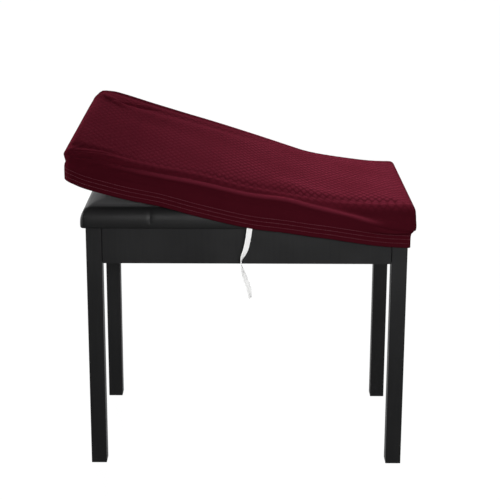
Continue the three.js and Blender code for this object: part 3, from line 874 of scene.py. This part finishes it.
def stitch_tree(thread):
    """A tree that lays stitches along a path, flat on the cloth."""
    tree = bpy.data.node_groups.new("stitch_row", "GeometryNodeTree")
    tree.interface.new_socket("Path", in_out="INPUT", socket_type="NodeSocketGeometry")
    for label in ("Pitch", "Length", "Thickness"):
        socket = tree.interface.new_socket(label, in_out="INPUT", socket_type="NodeSocketFloat")
        socket.default_value = STITCH[label.lower()] * MM
    tree.interface.new_socket("Stitches", in_out="OUTPUT", socket_type="NodeSocketGeometry")
    nodes, links = tree.nodes, tree.links
    given = nodes.new("NodeGroupInput")
    made = nodes.new("NodeGroupOutput")
    curve = nodes.new("GeometryNodeMeshToCurve")
    spaced = nodes.new("GeometryNodeResampleCurve")
    spaced.mode = "LENGTH"
    bead = nodes.new("GeometryNodeMeshUVSphere")
    for label, value in BEAD.items():
        bead.inputs[label].default_value = value
    size = nodes.new("ShaderNodeCombineXYZ")
    shaped = nodes.new("GeometryNodeTransform")
    tangent = nodes.new("GeometryNodeInputTangent")
    outward = nodes.new("GeometryNodeInputNamedAttribute")
    outward.data_type = "FLOAT_VECTOR"
    outward.inputs["Name"].default_value = "outward"
    run = nodes.new("FunctionNodeAlignRotationToVector")
    run.axis = "X"
    lie = nodes.new("FunctionNodeAlignRotationToVector")
    lie.axis = "Z"
    lie.pivot_axis = "X"
    uneven = nodes.new("FunctionNodeRandomValue")
    uneven.data_type = "FLOAT_VECTOR"
    for label, value in STITCH_UNEVEN.items():
        uneven.inputs[label].default_value = value
    laid = nodes.new("GeometryNodeInstanceOnPoints")
    real = nodes.new("GeometryNodeRealizeInstances")
    painted = nodes.new("GeometryNodeSetMaterial")
    painted.inputs["Material"].default_value = thread
    links.new(given.outputs["Path"], curve.inputs["Mesh"])
    links.new(curve.outputs["Curve"], spaced.inputs["Curve"])
    links.new(given.outputs["Pitch"], spaced.inputs["Length"])
    links.new(given.outputs["Length"], size.inputs["X"])
    links.new(given.outputs["Thickness"], size.inputs["Y"])
    links.new(given.outputs["Thickness"], size.inputs["Z"])
    links.new(bead.outputs["Mesh"], shaped.inputs["Geometry"])
    links.new(size.outputs["Vector"], shaped.inputs["Scale"])
    links.new(tangent.outputs["Tangent"], run.inputs["Vector"])
    links.new(run.outputs["Rotation"], lie.inputs["Rotation"])
    links.new(outward.outputs["Attribute"], lie.inputs["Vector"])
    links.new(spaced.outputs["Curve"], laid.inputs["Points"])
    links.new(shaped.outputs["Geometry"], laid.inputs["Instance"])
    links.new(lie.outputs["Rotation"], laid.inputs["Rotation"])
    links.new(uneven.outputs["Value"], laid.inputs["Scale"])
    links.new(laid.outputs["Instances"], real.inputs["Geometry"])
    links.new(real.outputs["Geometry"], painted.inputs["Geometry"])
    links.new(painted.outputs["Geometry"], made.inputs["Stitches"])
    return tree


def stitch_row(name, tree, points, outward):
    """One row of stitches along a closed path on the cloth."""
    count = len(points)
    mesh = bpy.data.meshes.new(name + "_path")
    edges = [(k, (k + 1) % count) for k in range(count)]
    mesh.from_pydata((points * MM + MIDDLE).tolist(), edges, [])
    slot = mesh.attributes.new("outward", "FLOAT_VECTOR", "POINT")
    slot.data.foreach_set("vector", outward.astype(np.float32).ravel())
    path = bpy.data.objects.new(name + "_path", mesh)
    bpy.context.scene.collection.objects.link(path)
    modifier = path.modifiers.new("stitches", "NODES")
    modifier.node_group = tree
    for socket in tree.interface.items_tree:
        if socket.in_out == "INPUT" and socket.socket_type == "NodeSocketFloat":
            modifier[socket.identifier] = STITCH[socket.name.lower()] * MM
    shown = path.evaluated_get(bpy.context.evaluated_depsgraph_get())
    stitches = bpy.data.meshes.new_from_object(shown)
    bpy.data.objects.remove(path)
    stitches.shade_smooth()
    piece = bpy.data.objects.new(name, stitches)
    bpy.context.scene.collection.objects.link(piece)
    return piece


def hem_path(points, normals, over_hem, count, height):
    """The closed line at one height over the hem, on the cloth's outside, with the way it faces."""
    rings = OUTSIDE["hem"] + OUTSIDE["skirt"] + OUTSIDE["roll"] + 1
    levels = over_hem[: rings * count].reshape(rings, count)[:, 0]
    upper = int(np.searchsorted(levels, height))
    share = (height - levels[upper - 1]) / (levels[upper] - levels[upper - 1])
    low, high = slice((upper - 1) * count, upper * count), slice(upper * count, (upper + 1) * count)
    return mix(points[low], points[high], share), mix(normals[low], normals[high], share)


def soften_wood(node, material):
    """A wooden node's finish, with its edges eased."""
    node.data.materials.clear()
    node.data.materials.append(material)
    weld = node.modifiers.new("weld", "WELD")
    weld.merge_threshold = EASED_EDGE["weld"] * MM
    bevel = node.modifiers.new("eased_edges", "BEVEL")
    bevel.width = EASED_EDGE["width"] * MM
    bevel.segments = EASED_EDGE["segments"]
    bevel.limit_method = "ANGLE"


def studio():
    """A pale floor, a white room that is brighter behind the bench, a far light from there, and soft
    panels in front, at the left and overhead."""
    scene = bpy.context.scene
    scene.view_settings.view_transform = "Standard"
    pale_floor(scene)
    white_room(scene)
    far_light("back_light", **BACK_LIGHT)
    for panel in PANELS:
        soft_light(**dict(zip(PANEL_COLUMNS, panel)))


def pale_floor(scene):
    """A floor that is white to the eye and gives the bench no light."""
    floor_mesh = bpy.data.meshes.new("floor")
    corners = [(x * FLOOR_REACH, y * FLOOR_REACH, 0) for x, y in ((-1, -1), (1, -1), (1, 1), (-1, 1))]
    floor_mesh.from_pydata(corners, [], [(0, 1, 2, 3)])
    pale = Shader("pale_floor")
    floor_mesh.materials.append(pale.set(
        Base_Color=colour("floor"), Roughness=1.0, Specular_IOR_Level=0.0,
        Emission_Color=colour("white"), Emission_Strength=0.99,
    ))
    floor = bpy.data.objects.new("floor", floor_mesh)
    scene.collection.objects.link(floor)
    floor.visible_diffuse = False
    floor.visible_glossy = False
    floor.visible_shadow = False


def white_room(scene):
    """White to the eye. As light it is bright low behind the bench, and dim in front and overhead."""
    world = bpy.data.worlds.new("white_room")
    scene.world = world
    world.use_nodes = True
    nodes, links = world.node_tree.nodes, world.node_tree.links
    where = nodes.new("ShaderNodeTexCoord")
    parts = nodes.new("ShaderNodeSeparateXYZ")
    links.new(where.outputs["Generated"], parts.inputs[0])

    def mapped(socket, low, high):
        node = nodes.new("ShaderNodeMapRange")
        node.inputs["From Min"].default_value = low
        node.inputs["From Max"].default_value = high
        links.new(socket, node.inputs["Value"])
        return node.outputs["Result"]

    height = mapped(parts.outputs["Z"], -1, 1)
    walls = nodes.new("ShaderNodeMix")
    links.new(mapped(parts.outputs["Y"], *WALLS_MEET), walls.inputs["Factor"])
    for socket, wall in ((walls.inputs["A"], FRONT_WALL), (walls.inputs["B"], BACK_WALL)):
        ramp = nodes.new("ShaderNodeValToRGB")
        stops = ramp.color_ramp.elements
        for _ in range(len(wall) - 2):
            stops.new(0.5)
        for stop, (up, strength) in zip(stops, wall):
            stop.position = (up + 1) / 2
            stop.color = (strength, strength, strength, 1.0)
        links.new(height, ramp.inputs["Fac"])
        links.new(ramp.outputs["Color"], socket)
    lighting = nodes["Background"]
    lighting.inputs["Color"].default_value = colour("white")
    links.new(walls.outputs["Result"], lighting.inputs["Strength"])
    backdrop = nodes.new("ShaderNodeBackground")
    backdrop.inputs["Color"].default_value = colour("white")
    seen = nodes.new("ShaderNodeLightPath")
    chosen = nodes.new("ShaderNodeMixShader")
    links.new(seen.outputs["Is Camera Ray"], chosen.inputs["Fac"])
    links.new(lighting.outputs[0], chosen.inputs[1])
    links.new(backdrop.outputs[0], chosen.inputs[2])
    links.new(chosen.outputs[0], nodes["World Output"].inputs["Surface"])


def far_light(name, direction, spread, strength):
    """A broad light from far off, given by the way towards it, that leaves no glare on the bench."""
    light = bpy.data.lights.new(name, "SUN")
    light.angle = math.radians(spread)
    light.energy = strength
    lamp = bpy.data.objects.new(name, light)
    lamp.matrix_world = Vector(direction).to_track_quat("Z", "Y").to_matrix().to_4x4()
    lamp.visible_glossy = False
    bpy.context.scene.collection.objects.link(lamp)


def soft_light(name, place, towards, size, power, spread):
    """A panel of light, wide and high, aimed at a place."""
    light = bpy.data.lights.new(name, "AREA")
    light.shape = "RECTANGLE"
    light.size, light.size_y = size
    light.spread = math.radians(spread)
    light.energy = power
    lamp = bpy.data.objects.new(name, light)
    direction = Vector(place) - Vector(towards)
    lamp.matrix_world = Matrix.Translation(place) @ direction.to_track_quat("Z", "Y").to_matrix().to_4x4()
    bpy.context.scene.collection.objects.link(lamp)


def photo_camera():
    """A camera with the photograph's viewpoint and framing."""
    data = bpy.data.cameras.new("camera")
    data.sensor_width = SENSOR
    data.lens = FOCAL_PIXELS / FRAME_PIXELS * SENSOR
    data.shift_x, data.shift_y = CAMERA_SHIFT
    camera = bpy.data.objects.new("camera", data)
    place = np.array(CAMERA_PLACE) * MM + MIDDLE
    tilt = Matrix.Rotation(math.pi / 2 - CAMERA_PITCH, 4, "X")
    camera.matrix_world = Matrix.Translation(place) @ tilt @ Matrix.Rotation(CAMERA_ROLL, 4, "Z")
    bpy.context.scene.collection.objects.link(camera)
    bpy.context.scene.camera = camera


photo_camera()
studio()

cloth, cloth_points, cloth_normals, over_hem, loop_count = cover()
thread = stitch_thread()
stitching = stitch_tree(thread)
stitch_rows = []
for row_height, row_name in STITCH_ROWS:
    path, facing = hem_path(cloth_points, cloth_normals, over_hem, loop_count, row_height)
    stitch_rows.append(stitch_row(f"stitches_{row_name}", stitching, path, facing))
upholstery = seat_pad(seat_leather())
tape, tape_length = elastic_tape(tape_elastic())
wood = bench_wood()
for name in LEGS + APRONS:
    soften_wood(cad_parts[name], wood)

for piece in [cloth, upholstery, tape, *stitch_rows]:
    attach(piece, "root")
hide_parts("cover")
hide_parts("seat_pad")
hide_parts("elastic_tape")
